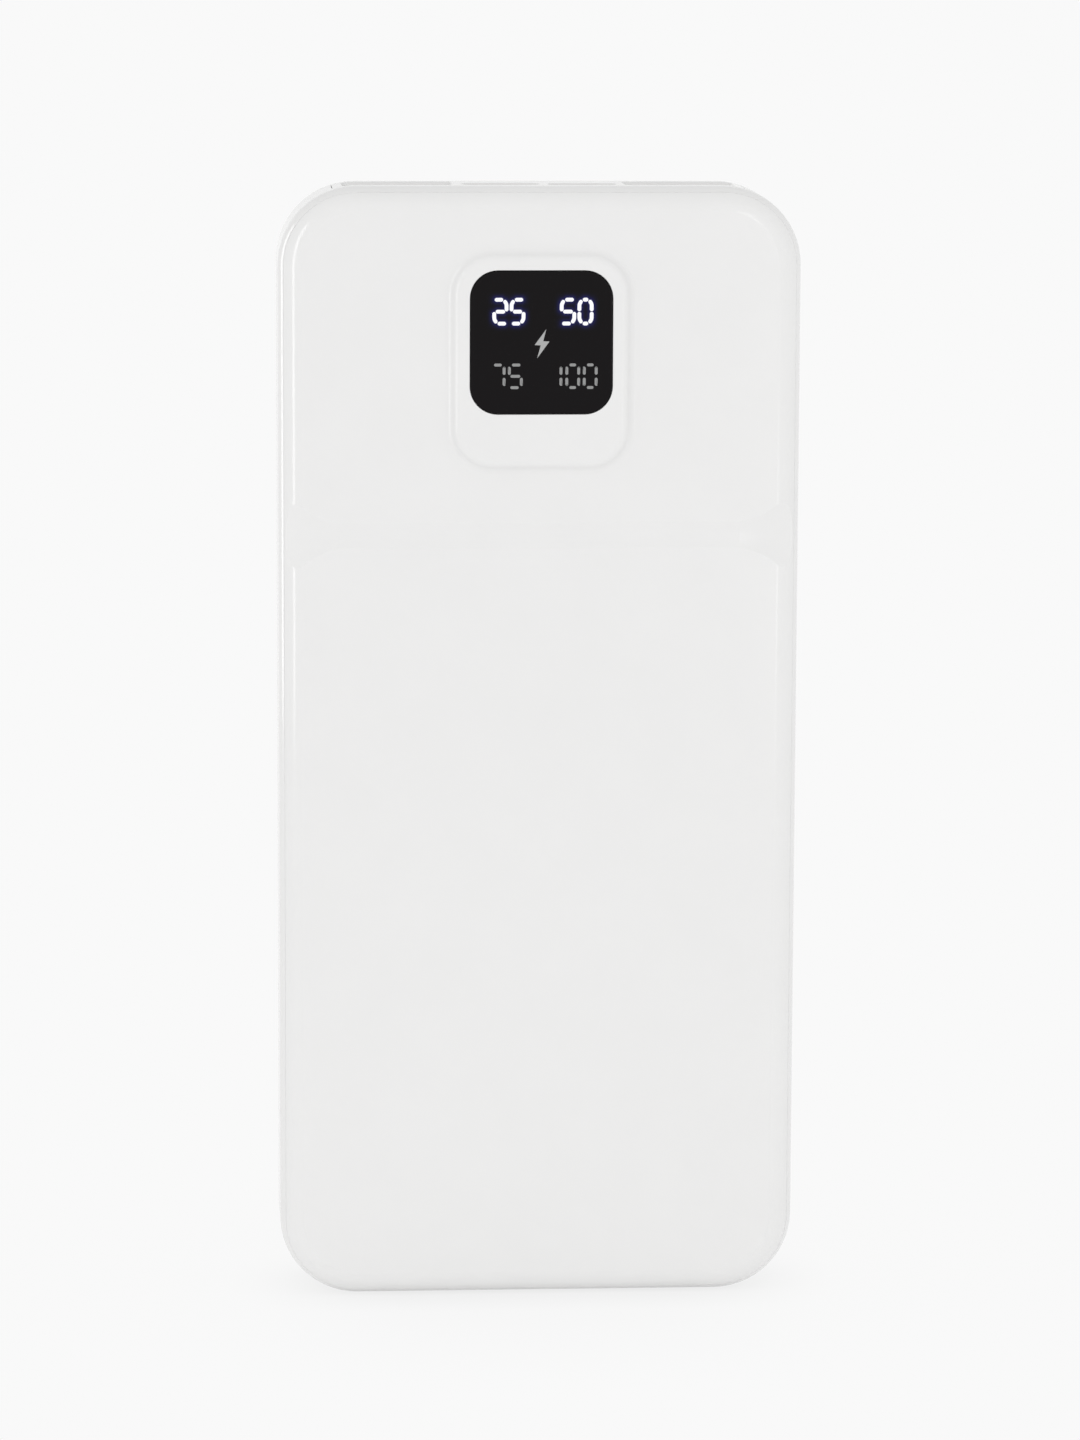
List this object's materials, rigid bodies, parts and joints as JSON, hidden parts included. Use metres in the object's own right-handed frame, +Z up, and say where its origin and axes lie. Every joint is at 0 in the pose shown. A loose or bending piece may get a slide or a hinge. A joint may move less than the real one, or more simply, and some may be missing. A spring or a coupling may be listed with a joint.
{
  "type": "power bank",
  "caption": "Pocket power bank: a glossy slab with rounded corners, a raised charge gauge window, finger scoops and charging sockets in its top edge.",
  "frame": {"origin": "centre of the bottom edge, midway between the front and rear covers", "axes": "+X to the right across the front, -Y the way the front faces, +Z up to the edge with the sockets"},
  "size_m": [0.0666, 0.0168, 0.1435],
  "materials": {
    "casing_white": "polished moulded plastic",
    "window_smoke": "smoked, polished",
    "tape_clear": "adhesive film",
    "film_black": "printed film",
    "well_white": "matt moulded plastic",
    "lamp_resin": "cast resin",
    "board_green": "solder mask",
    "screw_steel": "plated",
    "ferrite_grey": "pressed powder",
    "can_aluminium": "drawn",
    "chip_black": "moulded epoxy",
    "capacitor_tan": "fired",
    "socket_steel": "nickel plated sheet",
    "socket_black": "moulded",
    "contact_gold": "gold plated",
    "pouch_foil": "laminated foil",
    "tab_aluminium": "strip",
    "tab_nickel": "strip",
    "lead_red": "silicone insulation",
    "lead_black": "silicone insulation",
    "lead_yellow": "silicone insulation",
    "foam_grey": "open-cell foam",
    "sheet_white": "insulating paper"
  },
  "bodies": {
    "casing": {"front_cover": "casing_white", "mid_frame": "casing_white", "rear_cover": "casing_white", "port_plate": "casing_white", "display_window": "window_smoke", "window_adhesive": "tape_clear", "display_segment_film": "film_black", "display_light_frame": "well_white", "display_leds": "lamp_resin", "main_board": "board_green", "board_screws": "screw_steel", "power_inductors": "ferrite_grey", "polymer_capacitors": "can_aluminium", "control_chips": "chip_black", "ceramic_capacitors": "capacitor_tan", "usb_a_shell_left": "socket_steel", "usb_a_shell_right": "socket_steel", "usb_a_tongue_left": "socket_black", "usb_a_tongue_right": "socket_black", "usb_a_contacts_left": "contact_gold", "usb_a_contacts_right": "contact_gold", "usb_c_shell": "socket_steel", "usb_c_tongue": "socket_black", "usb_c_contacts": "contact_gold", "micro_usb_shell": "socket_steel", "micro_usb_tongue": "socket_black", "micro_usb_contacts": "contact_gold", "tact_switch_body": "chip_black", "switch_terminals": "tab_nickel", "battery_cell": "pouch_foil", "positive_tab": "tab_aluminium", "negative_tab": "tab_nickel", "protection_board": "board_green", "protection_chips": "chip_black", "temperature_sensor": "chip_black", "positive_lead": "lead_red", "negative_lead": "lead_black", "sensor_lead": "lead_yellow", "cell_adhesive_sheet": "tape_clear", "foam_pad": "foam_grey", "insulating_sheet": "sheet_white"},
    "power_button": {"power_button": "casing_white", "switch_plunger": "chip_black"}
  },
  "joints": [
    {"name": "button_press", "type": "slide", "parent": "casing", "child": "power_button", "axis": [-1, 0, 0], "range_m": [0, 0.0003], "stiffness_N_per_m": 600, "springref_m": -0.001}
  ]
}
